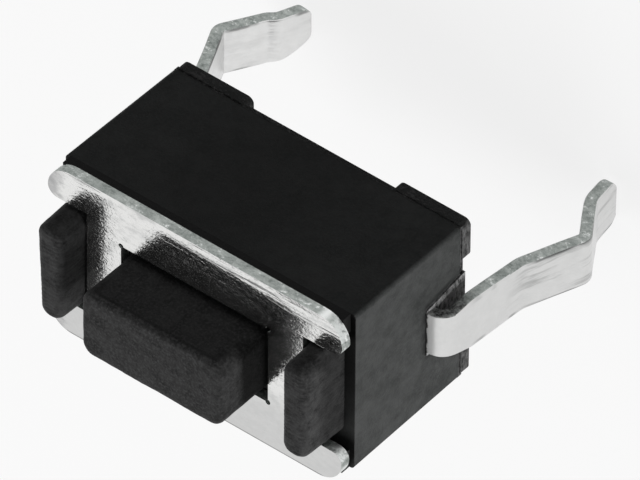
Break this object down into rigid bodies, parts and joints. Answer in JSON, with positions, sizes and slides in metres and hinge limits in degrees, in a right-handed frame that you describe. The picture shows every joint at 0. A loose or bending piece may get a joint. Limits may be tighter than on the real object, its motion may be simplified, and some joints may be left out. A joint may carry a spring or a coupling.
{
  "type": "tactile push button switch",
  "caption": "Small through-hole tactile push button switch: moulded housing, sheet metal cover, rectangular push button and kinked snap-in legs.",
  "frame": {"origin": "centre of the seat on the board, in the plane of the feet's bottoms", "axes": "+Z out of the board along the button, X from leg to leg, Y across the narrow side"},
  "size_m": [0.0079, 0.0036, 0.0077],
  "materials": {
    "housing_plastic": "black moulded plastic, satin",
    "button_plastic": "black moulded plastic, fine matte grain",
    "cover_metal": "bright rolled sheet with light brushing",
    "dome_steel": "plain spring steel",
    "leg_metal": "silver-bright plated strip, satin"
  },
  "bodies": {
    "switch_body": {"housing": "housing_plastic", "cover_plate": "cover_metal", "contact_dome": "dome_steel", "rim_terminal": "leg_metal", "centre_terminal": "leg_metal"},
    "push_button": {"button": "button_plastic"}
  },
  "joints": [
    {"name": "button_press", "type": "slide", "parent": "switch_body", "child": "push_button", "axis": [0, 0, -1], "range_m": [0, 0.00025], "stiffness_N_per_m": 6400, "deforming": ["contact_dome"]}
  ]
}
